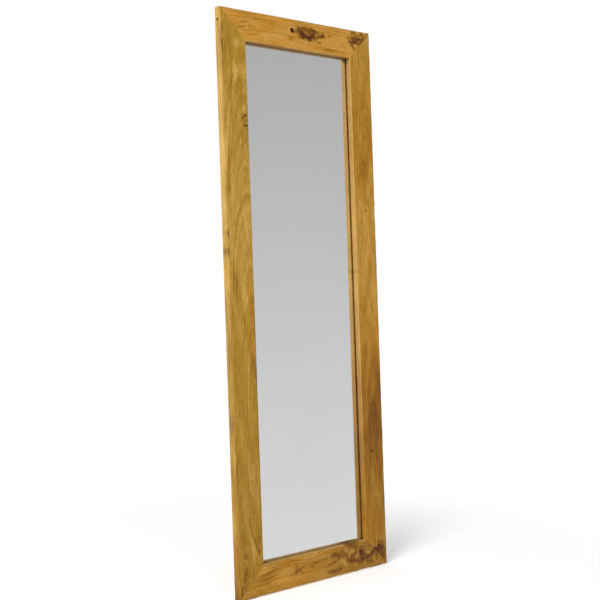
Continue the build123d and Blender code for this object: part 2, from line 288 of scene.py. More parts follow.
def waxed_knotty_hardwood():
    """Knotty tropical hardwood, planed and waxed by hand: golden bands, dark pores, satin, brown knots."""
    material, tree, shader = start_material(
        "waxed_knotty_hardwood", **{"IOR": 1.5, "Specular IOR Level": 0.22}
    )
    grain = add_node(tree, "ShaderNodeAttribute", attribute_name="grain_at").outputs["Vector"]
    ring, tone, knot, warm, wear_and_painted_light = (
        add_node(tree, "ShaderNodeAttribute", attribute_name=name).outputs["Fac"]
        for name in ("ring", "tone", "knot", "warm", "wear_and_painted_light")
    )
    figure = wood_figure(tree, grain, ring)
    burl = patches(tree, grain, (20, 13, 13), detail=3.0, roughness=0.6, distortion=0.6)
    curl = patches(tree, grain, (30, 17, 17), detail=2.0, roughness=0.55, distortion=0.45)

    level = weighed(tree, wood_level(tree, figure, 0.73), (tone, 1.0))
    wood = add_node(tree, "ShaderNodeValToRGB", {"Fac": level}, stops=KNOTTY_WOOD).outputs["Color"]
    warmed = add_node(
        tree,
        "ShaderNodeMix",
        {"Factor": warm, "A": wood, "B": linear("#ffe3a0")},
        data_type="RGBA",
        blend_type="MULTIPLY",
    ).outputs["Result"]
    # Pale colour on the sides and arrises: painted light on the sides and reveals, worn wax with a painted
    # highlight on the arrises
    worn_and_lit = add_node(
        tree, "ShaderNodeMix", {"Factor": wear_and_painted_light, "A": warmed, "B": linear("#d3b57f")}, data_type="RGBA"
    ).outputs["Result"]
    # Knots are mottled brown, and run out into the wood around them
    heart = add_node(
        tree,
        "ShaderNodeValToRGB",
        {"Fac": weighed(tree, swung(tree, 0.98, (curl, 1.6), (figure["rings"], 0.3)), (knot, -0.5))},
        stops=[(0.10, "#3a1a02"), (0.40, "#683a06"), (0.65, "#8b5c10"), (0.95, "#bb8e38")],
    ).outputs["Color"]
    edge = add_node(
        tree,
        "ShaderNodeMapRange",
        {
            "Value": weighed(tree, swung(tree, 0.0, (burl, 0.9), (figure["hair"], 0.35)), (knot, 1.0)),
            "From Min": 0.16,
            "From Max": 0.80,
        },
        interpolation_type="SMOOTHSTEP",
    ).outputs["Result"]
    knotted = add_node(
        tree, "ShaderNodeMix", {"Factor": edge, "A": worn_and_lit, "B": heart}, data_type="RGBA"
    ).outputs["Result"]
    # A knot hole's hollow is painted dark, as the shade inside it
    painted_hole_shade = add_node(
        tree, "ShaderNodeMapRange", {"Value": knot, "From Min": 1.2, "From Max": 1.5}
    ).outputs["Result"]
    colour = add_node(
        tree, "ShaderNodeMix", {"Factor": painted_hole_shade, "A": knotted, "B": linear("#350b03")}, data_type="RGBA"
    ).outputs["Result"]
    roughness = weighed(tree, 0.40, (figure["hair"], 0.2), (figure["pores"], 0.15))
    relief = weighed(
        tree,
        0.4,
        (figure["hair"], 0.5),
        (figure["rings"], 0.4),
        (figure["pores"], -0.6),
        (figure["ticks"], -0.4),
    )
    dress(tree, shader, colour, roughness, relief, 0.15)
    return material


def waxed_straight_hardwood(name, along):
    """The same hardwood without knots, sawn straight along its grain: even golden stripes, satin."""
    material, tree, shader = start_material(name, **{"IOR": 1.5, "Specular IOR Level": 0.3})
    here = add_node(tree, "ShaderNodeTexCoord").outputs["Object"]
    turn = Vector((1, 0, 0)).rotation_difference(along).to_euler()
    grain = add_node(
        tree, "ShaderNodeMapping", {"Vector": here, "Rotation": turn}, vector_type="TEXTURE"
    ).outputs["Vector"]
    # Growth rings go by the distance from the log's heart, which runs along the grain at y -60 mm and
    # z 130 mm of the turned axes; the small share of the length makes the log taper
    from_heart = add_node(
        tree,
        "ShaderNodeVectorMath",
        {0: grain, 1: (0.012, 1.0, 1.0), 2: (0.0, 0.06, -0.13)},
        operation="MULTIPLY_ADD",
    ).outputs[0]
    ring = add_node(tree, "ShaderNodeVectorMath", {0: from_heart}, operation="LENGTH").outputs["Value"]
    figure = wood_figure(tree, grain, ring)
    colour = add_node(
        tree, "ShaderNodeValToRGB", {"Fac": wood_level(tree, figure, 0.76)}, stops=STRAIGHT_WOOD
    ).outputs["Color"]
    roughness = weighed(tree, 0.40, (figure["hair"], 0.2), (figure["pores"], 0.15))
    relief = weighed(tree, 0.4, (figure["hair"], 0.5), (figure["rings"], 0.4), (figure["pores"], -0.6))
    dress(tree, shader, colour, roughness, relief, 0.15)
    return material


def raw_beech():
    """Beech left raw for the glue: pale pinkish tan with short darker rays, dull and dry."""
    material, tree, shader = start_material("raw_beech", IOR=1.5)
    here = add_node(tree, "ShaderNodeTexCoord").outputs["Object"]
    rays = patches(tree, here, (1.2, 1.2, 6), detail=1.0)
    cloud = patches(tree, here, (14, 14, 40))
    colour = add_node(
        tree,
        "ShaderNodeValToRGB",
        {"Fac": swung(tree, 0.5, (rays, 1.2), (cloud, 0.8))},
        stops=[(0.2, "#a97f54"), (0.5, "#cda777"), (0.8, "#dcbb90")],
    ).outputs["Color"]
    dress(tree, shader, colour, weighed(tree, 0.55, (cloud, 0.2)), rays, 0.08)
    return material


def closed_cell_foam():
    """Black polyethylene foam tape: cells half a millimetre wide, quite matt."""
    material, tree, shader = start_material("closed_cell_foam", IOR=1.5)
    here = add_node(tree, "ShaderNodeTexCoord").outputs["Object"]
    cells = add_node(
        tree, "ShaderNodeTexVoronoi", {"Vector": here, "Scale": 1 / (0.6 * MM)}
    ).outputs["Distance"]
    cloud = patches(tree, here, (12, 12, 12))
    colour = add_node(
        tree,
        "ShaderNodeValToRGB",
        {"Fac": weighed(tree, 0.0, (cells, 0.6), (cloud, 0.5))},
        stops=[(0.2, "#5c5c5e"), (0.8, "#38383a")],
    ).outputs["Color"]
    dress(tree, shader, colour, weighed(tree, 0.8, (cloud, 0.2)), cells, 0.1)
    return material


def smooth_hardboard():
    """Pressed wood fibre with its smooth face out: brown, faintly blotched and flecked, a dull sheen."""
    material, tree, shader = start_material("smooth_hardboard", **{"IOR": 1.5, "Specular IOR Level": 0.35})
    here = add_node(tree, "ShaderNodeTexCoord").outputs["Object"]
    blotch = patches(tree, here, (140, 140, 190), detail=3.0, distortion=0.5)
    fibre = patches(tree, here, (1.6, 1.6, 4), detail=3.0, roughness=0.7, distortion=1.2)
    colour = add_node(
        tree,
        "ShaderNodeValToRGB",
        {"Fac": swung(tree, 0.5, (blotch, 0.6), (fibre, 0.9))},
        stops=[(0.1, "#54381f"), (0.45, "#75522f"), (0.7, "#89643e"), (1.0, "#a98258")],
    ).outputs["Color"]
    dress(tree, shader, colour, swung(tree, 0.58, (blotch, 0.25), (fibre, 0.15)), fibre, 0.12)
    return material


def metal(name, colours, scratch_mm, roughness, spread):
    """Plated or rubbed metal: soft clouds between two or three colours, and fine marks of the given size."""
    material, tree, shader = start_material(name, Metallic=1.0)
    here = add_node(tree, "ShaderNodeTexCoord").outputs["Object"]
    scratch = patches(tree, here, scratch_mm, detail=2.0, roughness=0.7)
    cloud = patches(tree, here, (9, 9, 9), detail=3.0, distortion=0.8)
    steps = len(colours) - 1
    stops = [(0.25 + 0.5 * number / steps, code) for number, code in enumerate(colours)]
    colour = add_node(
        tree, "ShaderNodeValToRGB", {"Fac": swung(tree, 0.5, (cloud, 0.8), (scratch, 0.8))}, stops=stops
    ).outputs["Color"]
    dress(tree, shader, colour, swung(tree, roughness, (scratch, spread), (cloud, spread)), scratch, 0.03)
    return material


def moulded_rubber():
    """Black moulded rubber: fine grain left by the mould, matt, greyed by floor dust."""
    material, tree, shader = start_material("moulded_rubber", **{"IOR": 1.52, "Specular IOR Level": 0.4})
    here = add_node(tree, "ShaderNodeTexCoord").outputs["Object"]
    dust = patches(tree, here, (7, 7, 4), detail=4.0, roughness=0.7)
    grit = patches(tree, here, (0.8, 0.8, 0.8), detail=1.0)
    colour = add_node(
        tree,
        "ShaderNodeValToRGB",
        {"Fac": swung(tree, 0.4, (dust, 1.6), (grit, 0.4))},
        stops=[(0.2, "#1b1b1c"), (0.6, "#2a2a2b"), (1.0, "#56534e")],
    ).outputs["Color"]
    dress(tree, shader, colour, swung(tree, 0.75, (dust, 0.3)), grit, 0.08)
    return material


# ---------------------------------------------------------------- meshes


def show_mesh(name, mesh, angle):
    """An object with that mesh, smooth but for edges sharper than the angle."""
    mesh.shade_smooth()
    mesh.set_sharp_from_angle(angle=radians(angle))
    piece = bpy.data.objects.new(name, mesh)
    bpy.context.scene.collection.objects.link(piece)
    return piece


def new_piece(name, points, faces, angle=sharp_degrees):
    """An object made of points and faces, with its faces turned to look outward."""
    mesh = bpy.data.meshes.new(name)
    mesh.from_pydata([tuple(p) for p in points], [], faces)
    work = bmesh.new()
    work.from_mesh(mesh)
    bmesh.ops.recalc_face_normals(work, faces=work.faces)
    work.to_mesh(mesh)
    work.free()
    return show_mesh(name, mesh, angle)


def fill_attribute(piece, name, values):
    """Write a number or a vector for each point of a piece's mesh."""
    values = np.asarray(values, np.float32)
    vector = values.ndim == 3
    kind, key = ("FLOAT_VECTOR", "vector") if vector else ("FLOAT", "value")
    piece.data.attributes.new(name, kind, "POINT").data.foreach_set(key, values.ravel())


# ---------------------------------------------------------------- frame boards


def swells(seed, s, c, length, width, waves=8):
    """Smooth unevenness about -1 to 1, in swells of about that length and width."""
    draw = np.random.default_rng(seed)
    total = np.zeros(np.broadcast(s, c).shape)
    for _ in range(waves):
        along = draw.uniform(0.5, 1.5) / length * draw.choice((-1, 1))
        across = draw.uniform(0.5, 1.5) / width
        total += np.sin(2 * pi * (s * along + c * across + draw.uniform()))
    return total / (0.7 * waves**0.5 * 2)


def board_section():
    """The board's outline: rows of c from the outer edge, d deep, inward c, inward d and kind.

    A row of an arris holds only its turn, because the arris has its own radius all along the board.
    """
    rows = []

    def line(start, end, inward, spacing=grid_mm * 1.4):
        """Rows from the start up to, but without, the end."""
        start, end = np.array(start), np.array(end)
        count = max(1, round(float(np.linalg.norm(end - start)) / spacing))
        for step in range(count):
            point = start + (end - start) * step / count
            rows.append((*point, *inward, "flat"))

    def arc(kind):
        """Rows of a quarter turn."""
        for step in range(arris_steps):
            turn = pi / 2 * step / arris_steps
            rows.append((0, 0, turn, 0, kind))

    w, t, r, e = board_width, board_thickness, arris_radius_mm, edge_ease_mm
    line((0, t - e), (0, r), (1, 0), grid_mm * 0.8)
    arc("outer")
    line((r, 0), (w - r, 0), (0, 1), grid_mm)
    arc("inner")
    line((w, r), (w, lip_depth - e), (-1, 0))
    line((w, lip_depth - e), (w - e, lip_depth), (-0.7, -0.7))
    line((w - e, lip_depth), (w - lip_width, lip_depth), (0, -1))
    line((w - lip_width, lip_depth), (w - lip_width, t - e), (-1, 0))
    line((w - lip_width, t - e), (w - lip_width - e, t), (-0.7, -0.7))
    line((w - lip_width - e, t), (e, t), (0, -1), grid_mm * 1.6)
    line((e, t), (0, t - e), (0.7, -0.7))
    return rows


def smooth(low, high, value):
    """0 below low, 1 above high, and a smooth rise between; low may be the higher one."""
    t = np.clip((value - low) / (high - low), 0, 1)
    return t * t * (3 - 2 * t)


def board_grid(length, seed):
    """Points of a mitred board as rows along it, each a turn round its outline.

    Gives each row's share of the length, and for each point its s, c and d and which way is inward.
    """
    section = board_section()
    count = round(length / grid_mm)
    ease = mitre_ease_mm / length
    share = np.concatenate(([0, ease], np.linspace(2 * ease, 1 - 2 * ease, count), [1 - ease, 1]))[:, None]
    middle_s = share[:, 0] * length
    outer = arris_radius_mm + arris_wear_mm * np.abs(swells(seed + 1, middle_s, 0, 140, 50))
    inner = arris_radius_mm * 0.25 + 0.6 * np.abs(swells(seed + 2, middle_s, 0, 120, 50))
    c = np.zeros((len(share), len(section)))
    d, in_c, in_d = c.copy(), c.copy(), c.copy()
    for column, (at_c, at_d, inward_c, inward_d, kind) in enumerate(section):
        turn = inward_c  # what a row of an arris holds there
        if kind == "outer":
            c[:, column] = outer * (1 - cos(turn))
            d[:, column] = outer * (1 - sin(turn))
            in_c[:, column], in_d[:, column] = cos(turn), sin(turn)
        elif kind == "inner":
            c[:, column] = board_width - inner * (1 - sin(turn))
            d[:, column] = inner * (1 - cos(turn))
            in_c[:, column], in_d[:, column] = -sin(turn), cos(turn)
        else:
            c[:, column], d[:, column] = at_c, at_d
            in_c[:, column], in_d[:, column] = inward_c, inward_d
    # Where a wider arris has eaten into the flat beside it
    front = (in_d == 1) & (d == 0)
    c = np.where(front & (c < outer[:, None]), outer[:, None] + (c - arris_radius_mm) * 0.05, c)
    c = np.where(front & (c > board_width - inner[:, None]), board_width - inner[:, None], c)
    side = (in_c == 1) & (c == 0)
    d = np.where(side & (d < outer[:, None]), outer[:, None] + (d - arris_radius_mm) * 0.05, d)
    s = c + mitre_gap_mm + share * (length - 2 * (c + mitre_gap_mm))
    return share, s, c, d, in_c, in_d


def from_mark(mark, seed, s, c, d, on_outer_side):
    """How far each point is from a mark's middle, 1 at its edge, which is as uneven as the mark says."""
    at_s, at_c, half_s, half_c = mark["at"]
    rough = mark.get("rough", 0.18) * swells(seed, s, c, half_s * 1.3, half_c * 1.6)
    turn = radians(mark.get("turn", 0))
    to_s, to_c = s - at_s, (d if mark.get("side") else c) - at_c
    to_s, to_c = to_s * cos(turn) + to_c * sin(turn), to_c * cos(turn) - to_s * sin(turn)
    away = np.hypot(to_s / half_s, to_c / half_c) * (1 + rough)
    return np.where(on_outer_side, away, 9.0) if mark.get("side") else away


def tube_faces(rows, wide):
    """Faces of a closed tube of rows of points, with a cap at each end."""
    index = np.arange(rows * wide).reshape(rows, wide)
    here, after = index[:-1], index[1:]
    turn = np.roll(np.arange(wide), -1)
    faces = np.stack([here, here[:, turn], after[:, turn], after], -1).reshape(-1, 4).tolist()
    return faces + [index[0][::-1].tolist(), index[-1].tolist()]


def make_board(name, length, place, seed, pith, glass_line_shade, marks, zones):
    """One mitred board with its rebate.

    place turns s along and c across the board into frame x and z. pith gives the heart's c, its depth
    behind the face at the middle and how that changes along the board. glass_line_shade is how dark the
    painted shade line at the glass is. marks are knots, stains and streaks, and some painted shade;
    zones are the changes along the board, the painted light among them.
    """
    share, s, c, d, in_c, in_d = board_grid(length, seed)
    tone = np.interp(s, *zones["tone"]) + 0.05 * swells(seed + 3, s, c, 260, 60)
    warm = np.clip(np.interp(s, *zones["warm"]) + 0.35 * swells(seed + 4, s, c, 200, 40), 0, 1)
    knot = np.zeros_like(s)
    on_outer_side = (in_c == 1) & (c == 0)
    near_front = d < 0.8 * board_thickness
    sink = plane_swell_mm * (0.5 + 0.5 * swells(seed + 5, s, c, 90, 70)).clip(0, 1)
    # Across the grain, which wanders along the board and bends round the knots
    grain_c = c + 3.0 * swells(seed + 6, s, c * 0, 420, 50)
    grain_c = grain_c + 1.2 * swells(seed + 7, s, c, 130, 45)
    bulls_eye = np.zeros_like(s)
    eye_share = np.zeros_like(s)
    for number, mark in enumerate(marks):
        away = from_mark(mark, seed + 20 + number, s, c, d, on_outer_side)
        at_c, half_c = mark["at"][1], mark["at"][3]
        near = np.exp(-((away / 1.5) ** 2))
        grain_c -= (grain_c - at_c) * mark.get("pull", 0.0) * near
        knot = np.maximum(knot, mark.get("dark", 0.0) * smooth(1.4, 0.6, away))
        # A hole takes the knot past 1.2, where its hollow is painted dark as its shade
        knot = np.maximum(knot, 1.7 * mark.get("hole", 0.0) * smooth(1.25, 0.75, away) * near_front)
        knot *= 1 - mark.get("clear", 0.0) * smooth(1.3, 0.4, away)
        tone += mark.get("tone", 0.0) * smooth(1.3, 0.3, away)
        warm = np.clip(warm + mark.get("warm", 0.0) * smooth(1.3, 0.4, away), 0, 1)
        tone += mark.get("halo", 0.0) * smooth(2.4, 1.3, away) * smooth(0.9, 1.2, away)
        sink += mark.get("pit", 0.0) * smooth(0.95, 0.25, away) * (in_d > 0.5)
        if mark.get("pull"):
            bulls_eye = np.where(away < 1.6, away * half_c * 1.6, bulls_eye)
            eye_share = np.maximum(eye_share, smooth(1.3, 0.8, away))
    heart_c, heart_depth, heart_slope = pith
    heart = heart_depth + heart_slope * (s - length / 2) + 6 * swells(seed + 8, s, c * 0, 500, 50)
    ring = np.hypot(grain_c - heart_c, heart - d)
    ring = ring * (1 - eye_share) + bulls_eye * eye_share

    lip_side = (in_c == -1) & (d < lip_depth)
    on_side = (in_c == 1) | lip_side
    on_arris = (in_c != 0) & (in_d != 0) & (d < arris_radius_mm * 1.5)
    outer_arris = on_arris & (in_c > 0)
    # Painted light: the outer side and the lip's side are drawn paler, as lit; the arrises get worn wax and a
    # painted highlight
    wear_and_painted_light = side_painted_light * on_side + inner_arris_wear_and_highlight * (on_arris & ~outer_arris) + outer_arris_wear_and_highlight * outer_arris
    # Painted shade: the outer arris and the lip's side are drawn darker
    tone -= outer_arris_painted_shade * outer_arris + lip_side_painted_shade * lip_side
    wear_and_painted_light *= np.interp(s, *zones["wear_and_painted_light"])
    wear_and_painted_light *= (1 + 0.12 * swells(seed + 9, s, c, 120, 60)) * (1 - np.clip(knot, 0, 1))
    # Painted shade: a dark line where the lip meets the glass, as the shadow in that crease
    shaded_by_glass = (in_c < 0) & (d > lip_depth - glass_line_shade_mm)
    tone -= glass_line_shade * shaded_by_glass
    wear_and_painted_light *= 1 - shaded_by_glass * (glass_line_shade > 0)

    end = np.minimum(share, 1 - share) * length
    sink = sink + mitre_sink_mm * (end < mitre_ease_mm * 0.5)
    out_c, out_d = c + in_c * sink, d + in_d * sink
    x, z = place(s, out_c)
    piece = new_piece(name, on_frame(x, z, out_d).reshape(-1, 3), tube_faces(*s.shape))
    # Each board takes its figure from another part of the log
    offset = seed * 0.37
    fill_attribute(piece, "grain_at", np.stack([s * MM + offset, grain_c * MM + offset, d * MM], -1))
    levels = {"ring": ring * MM + offset, "tone": tone, "knot": knot, "warm": warm, "wear_and_painted_light": wear_and_painted_light}
    for label, values in levels.items():
        fill_attribute(piece, label, values)
    return piece


def make_frame_boards(wood):
    """The four boards of the frame, with the marks and zones that give each its own look.

    A mark's at is its s and c and its half lengths along them, turned by turn degrees. side puts it on
    the outer side, with d in place of c. rough is how uneven its edge is. tone makes the wood lighter
    there and warm more golden. dark makes a knot and clear takes knot away. hole makes a knot hole whose
    hollow is painted dark as its shade, pit sinks it by so many mm, halo gives a lighter rim, and pull
    bends the grain round it. zones give tone, warm and rub, the pale worn wax and painted light, at
    places s along the board.
    """
    boards = {
        "left_stile": dict(
            length=frame_height,
            place=lambda s, c: (c, s),
            seed=1,
            pith=(78, 48, 0.11),
            glass_line_shade=0.4,
            marks=[
                dict(at=(1664, 13, 4, 4), hole=1, side=True),
                dict(at=(1640, 10, 20, 2.5), tone=-0.5, side=True, turn=10),
                dict(at=(1604, 5, 24, 2.5), tone=-0.5, side=True, turn=8),
                dict(at=(1640, 5, 16, 2.5), tone=-0.3),
                dict(at=(1585, 4, 30, 2.5), tone=-0.45),
                # Painted shade: broad darker patches over the outer side, deepest toward the bottom
                dict(at=(1610, 12, 110, 16), tone=-0.07, side=True),
                dict(at=(900, 12, 130, 16), tone=-0.10, side=True),
                dict(at=(580, 12, 190, 16), tone=-0.20, side=True),
                dict(at=(700, 12, 60, 3), tone=-0.16, side=True),
                dict(at=(1040, 12, 90, 16), tone=-0.10, side=True),
                dict(at=(370, 12, 60, 16), tone=-0.10, side=True),
                dict(at=(60, 12, 140, 16), tone=-0.13, warm=0.2, side=True),
                dict(at=(1300, 8, 60, 7), tone=0.16),
                dict(at=(1600, 14, 60, 4), tone=-0.12),
                dict(at=(1601, 57, 14, 12), tone=0.12),
                dict(at=(1572, 30, 70, 15), tone=-0.08),
                dict(at=(1528, 44, 24, 9), tone=0.26, rough=0.4),
                dict(at=(1510, 50, 24, 4), tone=0.16, turn=8),
                dict(at=(1497, 62, 7, 5), tone=-0.2),
                dict(at=(1480, 34, 26, 4), tone=-0.2, warm=0.2),
                dict(at=(1455, 30, 44, 3), tone=-0.18, turn=3),
                dict(at=(1346, 88, 74, 17), tone=-0.03, pull=0.92, rough=0.05),
                dict(at=(1394, 80, 3, 8), tone=-0.2),
                dict(at=(1376, 72, 22, 2.5), tone=-0.16, turn=-8),
                dict(at=(1336, 74, 36, 2.5), tone=-0.14, turn=-12),
                dict(at=(1412, 74, 12, 7), tone=0.24),
                dict(at=(1390, 76, 16, 3), tone=-0.3, turn=60),
                dict(at=(1364, 81, 3, 9), tone=-0.63),
                dict(at=(1320, 66, 34, 3), tone=-0.27, turn=-6),
                dict(at=(1240, 13, 62, 4), tone=-0.18, warm=0.9),
                dict(at=(1180, 12, 16, 5), tone=-0.16, warm=0.3),
                dict(at=(1080, 68, 70, 4), tone=0.14, turn=-8),
                dict(at=(1052, 3, 12, 3), tone=-0.35),
                dict(at=(1000, 2, 16, 3), tone=-0.41),
                dict(at=(905, 26, 56, 4), tone=-0.1),
                dict(at=(770, 76, 200, 12), tone=-0.05, warm=0.7),
                dict(at=(620, 89, 380, 2.5), tone=-0.24),
                dict(at=(376, 5, 40, 2.5), tone=-0.32, turn=3),
                dict(at=(275, 18, 50, 5), tone=-0.08, warm=0.3),
                dict(at=(190, 52, 60, 5), tone=-0.16, turn=-16),
                dict(at=(150, 66, 44, 4), tone=-0.14, turn=-22),
                dict(at=(136, 46, 44, 3), tone=-0.2, turn=-4),
                dict(at=(120, 54, 50, 3), tone=0.14, turn=-6),
                dict(at=(62, 20, 34, 5), tone=-0.26, turn=18),
                dict(at=(44, 42, 34, 3), tone=0.14, turn=36),
                dict(at=(26, 10, 22, 6), tone=-0.24),
                dict(at=(108, 28, 36, 12), tone=-0.08, dark=0.45, pull=0.35, rough=0.4),
                dict(at=(64, 36, 30, 5), dark=0.5, turn=-34),
                dict(at=(40, 12, 24, 8), tone=-0.12, dark=0.45),
            ],
            zones={
                "tone": (
                    [0, 60, 120, 300, 720, 1010, 1150, 1450, 1700],
                    [-0.15, -0.08, -0.02, 0.0, -0.02, 0.09, 0.07, 0.01, -0.03],
                ),
                "warm": ([0, 60, 150, 300, 1700], [0.60, 0.40, 0.10, -0.06, -0.14]),
                # Painted light: the pale colour of the side and arrises fades toward the bottom
                "wear_and_painted_light": (
                    [0, 150, 300, 570, 860, 1010, 1250, 1700],
                    [0.1, 0.2, 0.3, 0.5, 0.6, 0.6, 1.0, 0.8],
                ),
            },
        ),
        "right_stile": dict(
            length=frame_height,
            place=lambda s, c: (frame_width - c, s),
            seed=5,
            pith=(30, 75, 0.02),
            glass_line_shade=0.4,
            marks=[
                dict(at=(1440, 70, 40, 5), tone=-0.10),
                dict(at=(1260, 46, 52, 24), tone=-0.10, warm=0.4, pull=0.6),
                dict(at=(1130, 42, 8, 6), tone=-0.14, halo=0.08, pull=0.7, dark=0.3),
                dict(at=(939, 88, 8, 3), tone=-0.3),
                dict(at=(820, 30, 16, 3), tone=-0.27, turn=20),
                dict(at=(690, 62, 30, 10), tone=-0.12),
                dict(at=(520, 30, 150, 34), tone=-0.14, warm=0.3, rough=0.35),
                dict(at=(400, 40, 120, 44), tone=-0.12, warm=0.3, rough=0.35),
                dict(at=(380, 79, 7, 5), dark=1.1),
                dict(at=(366, 52, 5, 4), tone=-0.46),
                dict(at=(180, 50, 62, 22), tone=-0.05, pull=0.6),
                dict(at=(36, 28, 44, 28), dark=1.05, tone=-0.16, warm=0.5, rough=0.3),
            ],
            zones={
                "tone": (
                    [0, 60, 212, 380, 530, 700, 900, 1130, 1290, 1500, 1700],
                    [-0.12, -0.04, -0.02, -0.13, -0.10, 0.05, 0.10, 0.12, -0.04, 0.02, 0.05],
                ),
                "warm": ([0, 212, 500, 900, 1130, 1290, 1700], [0.8, 0.75, 1.0, 0.55, 0.4, 0.8, 0.3]),
                # Painted light on the reveal and inner arris, fainter toward the bottom
                "wear_and_painted_light": ([0, 200, 420, 800, 1700], [0.1, 0.2, 0.7, 1.1, 0.9]),
            },
        ),
        "top_rail": dict(
            length=frame_width,
            place=lambda s, c: (s, frame_height - c),
            seed=9,
            pith=(140, 60, 0.03),
            glass_line_shade=0.3,
            marks=[
                dict(at=(271, 34, 7.5, 6.5), hole=1, pit=3.5, halo=0.2, pull=0.8),
                dict(at=(265, 61, 12, 8), tone=-0.2, warm=0.4),
                dict(at=(340, 37, 60, 21), dark=1.0, tone=-0.05, rough=0.25),
                dict(at=(326, 38, 30, 15), dark=1.05, rough=0.3),
                dict(at=(386, 30, 9, 5), clear=0.6, tone=0.06),
                dict(at=(426, 31, 6, 3.5), tone=-0.41),
                dict(at=(383, 58, 9, 3.5), tone=-0.38),
                dict(at=(425, 76, 28, 4), tone=-0.2, warm=0.5),
                dict(at=(88, 33, 20, 3), tone=-0.35, turn=-8),
                dict(at=(76, 50, 22, 3), tone=-0.32, turn=-12),
                dict(at=(112, 47, 22, 3), tone=-0.16),
                dict(at=(170, 22, 60, 9), tone=-0.08, warm=0.3),
                dict(at=(200, 62, 70, 7), tone=0.10),
                dict(at=(470, 34, 46, 12), tone=0.08),
                dict(at=(543, 28, 36, 25), dark=0.98, tone=-0.05, rough=0.25),
                dict(at=(548, 52, 12, 12), dark=0.6),
                dict(at=(562, 20, 8, 6), clear=0.4),
                dict(at=(590, 18, 10, 14), dark=0.75),
            ],
            zones={
                "tone": ([0, 600], [0.14, 0.15]),
                "warm": ([0, 600], [0.75, 0.65]),
                "wear_and_painted_light": ([0, 600], [0.6, 0.6]),
            },
        ),
        "bottom_rail": dict(
            length=frame_width,
            place=lambda s, c: (s, c),
            seed=13,
            pith=(-30, 60, -0.03),
            glass_line_shade=0.0,
            marks=[
                dict(at=(219, 47, 14, 9), dark=1.02, pull=0.7, halo=0.08, rough=0.3),
                dict(at=(223, 47, 30, 15), tone=-0.12, warm=0.3, rough=0.4),
                dict(at=(219, 47, 32, 3), tone=-0.35, turn=18),
                dict(at=(226, 46, 28, 3), tone=-0.32, turn=-24),
                dict(at=(214, 50, 4, 20), tone=-0.3),
                dict(at=(112, 62, 38, 4), tone=-0.3, turn=12),
                dict(at=(105, 46, 32, 3.5), tone=-0.3, turn=6),
                dict(at=(96, 30, 24, 3), tone=-0.24),
                dict(at=(160, 30, 40, 8), tone=0.10),
                dict(at=(298, 58, 24, 3), tone=-0.35),
                dict(at=(332, 61, 16, 3), tone=-0.32),
                dict(at=(462, 50, 108, 42), dark=0.66, tone=-0.06, warm=0.3, pull=0.3, rough=0.5),
                dict(at=(510, 50, 54, 32), dark=0.95, tone=-0.06, pull=0.3, rough=0.4),
                dict(at=(523, 60, 24, 9), clear=0.7, turn=20),
                dict(at=(384, 50, 42, 3.5), tone=-0.54, turn=15),
                dict(at=(455, 34, 40, 3.5), tone=-0.6, turn=-12),
                dict(at=(470, 62, 30, 3.5), tone=-0.57, turn=30),
                dict(at=(385, 14, 40, 8), warm=0.9, dark=0.4, tone=-0.06),
            ],
            zones={
                "tone": ([0, 300, 600], [0.05, 0.04, -0.06]),
                "warm": ([0, 600], [0.75, 0.8]),
                # Painted light: a pale sheen on the upward reveal, growing toward the right
                "wear_and_painted_light": ([0, 250, 600], [0.8, 1.2, 2.2]),
            },
        ),
    }
    for name, says in boards.items():
        piece = make_board(name + "_board", **says)
        piece.data.materials.append(wood)
        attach(piece, "frame")
        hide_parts(name)


# ---------------------------------------------------------------- glass


def leaning_slab(name, low, high, chamfer):
    """A sheet on the leaning frame between two corners (x, z, depth), with ground edges."""
    points, faces = [], []
    rings = [(chamfer, low[2]), (0, low[2] + chamfer), (0, high[2] - chamfer), (chamfer, high[2])]
    for inset, depth in rings:
        left, right = low[0] + inset, high[0] - inset
        bottom, top = low[1] + inset, high[1] - inset
        for x, z in ((left, bottom), (right, bottom), (right, top), (left, top)):
            points.append(on_frame(x, z, depth))
    for first in (0, 4, 8):
        for side in range(4):
            after = (side + 1) % 4
            faces.append([first + side, first + after, first + 4 + after, first + 4 + side])
    faces += [[3, 2, 1, 0], [12, 13, 14, 15]]
    return new_piece(name, points, faces, angle=10)


def make_mirror():
    """Float glass with the silver on its back."""
    clear, tree, shader = start_material(
        "clear_float_glass",
        **{"Base Color": linear("#fafafa"), "IOR": 1.52, "Transmission Weight": 1.0},
    )
    # A wiped glass keeps a breath of haze in patches as wide as a hand
    here = add_node(tree, "ShaderNodeTexCoord").outputs["Object"]
    wiped = add_node(
        tree,
        "ShaderNodeMapRange",
        {"Value": patches(tree, here, (90, 90, 60)), "From Min": 0.45, "From Max": 0.8, "To Max": 0.015},
    ).outputs["Result"]
    tree.links.new(wiped, shader.inputs["Roughness"])
    silver, tree, shader = start_material("wet_silvering", Metallic=1.0, Roughness=0.0)
    here = add_node(tree, "ShaderNodeTexCoord").outputs["Object"]
    film = add_node(
        tree,
        "ShaderNodeValToRGB",
        {"Fac": patches(tree, here, (260, 260, 260), detail=1.0)},
        stops=[(0.2, "#f4f5f5"), (0.8, "#f8f8f8")],
    ).outputs["Color"]
    tree.links.new(film, shader.inputs["Base Color"])
    pane = leaning_slab("glass_pane", glass_low, glass_high, glass_grind_mm)
    pane.data.materials.append(clear)
    inset, back = silver_inset_mm, glass_high[2]
    coat_low = np.array((glass_low[0] + inset, glass_low[1] + inset, back - silver_front_mm))
    coat_high = np.array((glass_high[0] - inset, glass_high[1] - inset, back - silver_back_mm))
    coat = leaning_slab("silver_coat", coat_low, coat_high, silver_edge_mm)
    coat.data.materials.append(silver)
    for piece in (pane, coat):
        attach(piece, "frame")
        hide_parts("mirror_glass")


# ---------------------------------------------------------------- the other pieces


